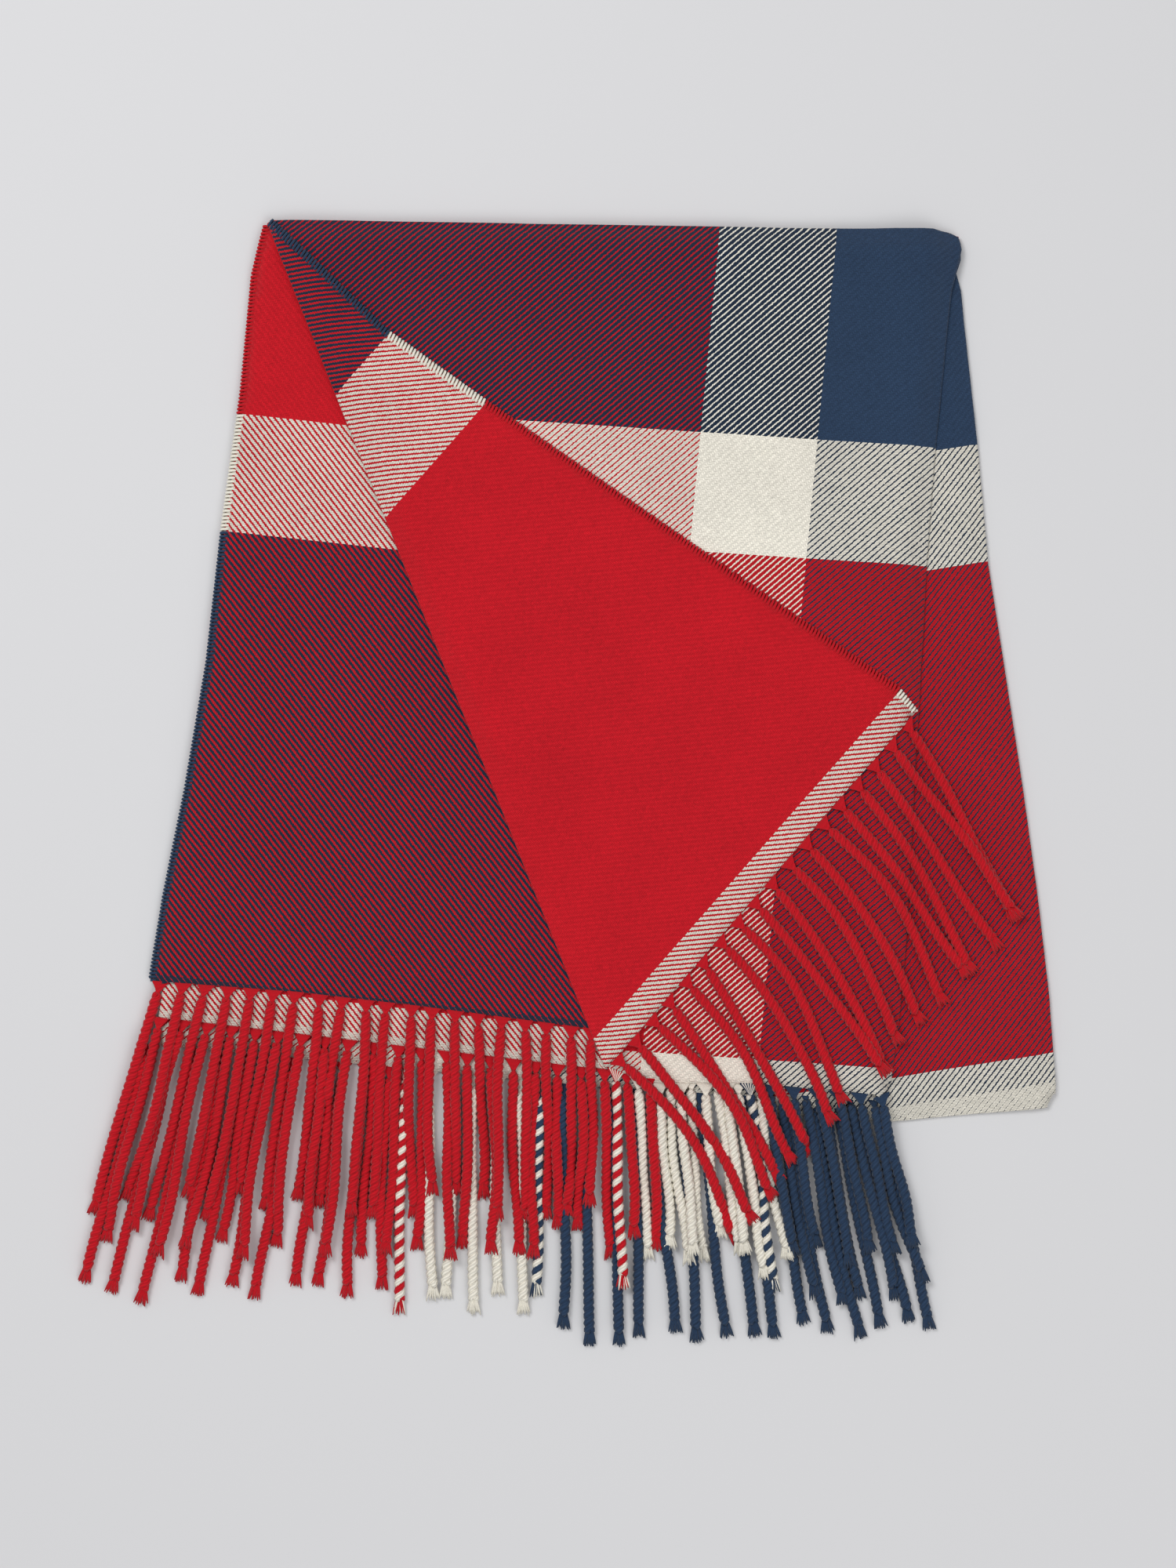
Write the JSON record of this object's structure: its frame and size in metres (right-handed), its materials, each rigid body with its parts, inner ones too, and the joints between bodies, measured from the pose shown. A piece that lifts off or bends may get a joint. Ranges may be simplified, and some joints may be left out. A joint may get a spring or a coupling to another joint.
{
  "type": "folded throw blanket",
  "caption": "Folded woven plaid throw lying flat, with twisted tassels along its fringed ends and one corner of the top layer turned back.",
  "frame": {"origin": "centre of the folded throw's footprint, on the surface it lies on", "axes": "+Z up from that surface, +Y towards the folded top edge, away from the fringe, +X to the right seen from above with +Y up"},
  "size_m": [0.7116, 0.8268, 0.0178],
  "materials": {
    "plaid_cloth": "matte",
    "selvedge_yarn": "matte",
    "red_yarn": "matte",
    "cream_yarn": "matte",
    "navy_yarn": "matte",
    "mixed_yarn": "matte"
  },
  "bodies": {
    "root": {"back_fringe_cream": "cream_yarn", "back_fringe_navy": "navy_yarn", "back_fringe_red": "red_yarn", "back_panel": "plaid_cloth", "bottom_fold": "plaid_cloth", "corner_flap": "plaid_cloth", "flap_fold": "plaid_cloth", "flap_fringe_red": "red_yarn", "flap_selvedge": "selvedge_yarn", "front_crest_fold": "plaid_cloth", "front_fringe_cream": "cream_yarn", "front_fringe_mixed": "mixed_yarn", "front_fringe_navy": "navy_yarn", "front_panel": "plaid_cloth", "left_fold": "plaid_cloth", "left_fringe_red": "red_yarn", "left_panel": "plaid_cloth", "left_selvedge": "selvedge_yarn", "right_fold": "plaid_cloth", "right_panel": "plaid_cloth", "top_fold_back": "plaid_cloth", "top_fold_front": "plaid_cloth", "top_fold_middle": "plaid_cloth", "tuck_fold": "plaid_cloth", "tuck_lower": "plaid_cloth", "tuck_upper": "plaid_cloth", "under_fringe_cream": "cream_yarn", "under_fringe_mixed": "mixed_yarn", "under_fringe_navy": "navy_yarn", "under_fringe_red": "red_yarn", "under_panel": "plaid_cloth"}
  },
  "joints": []
}
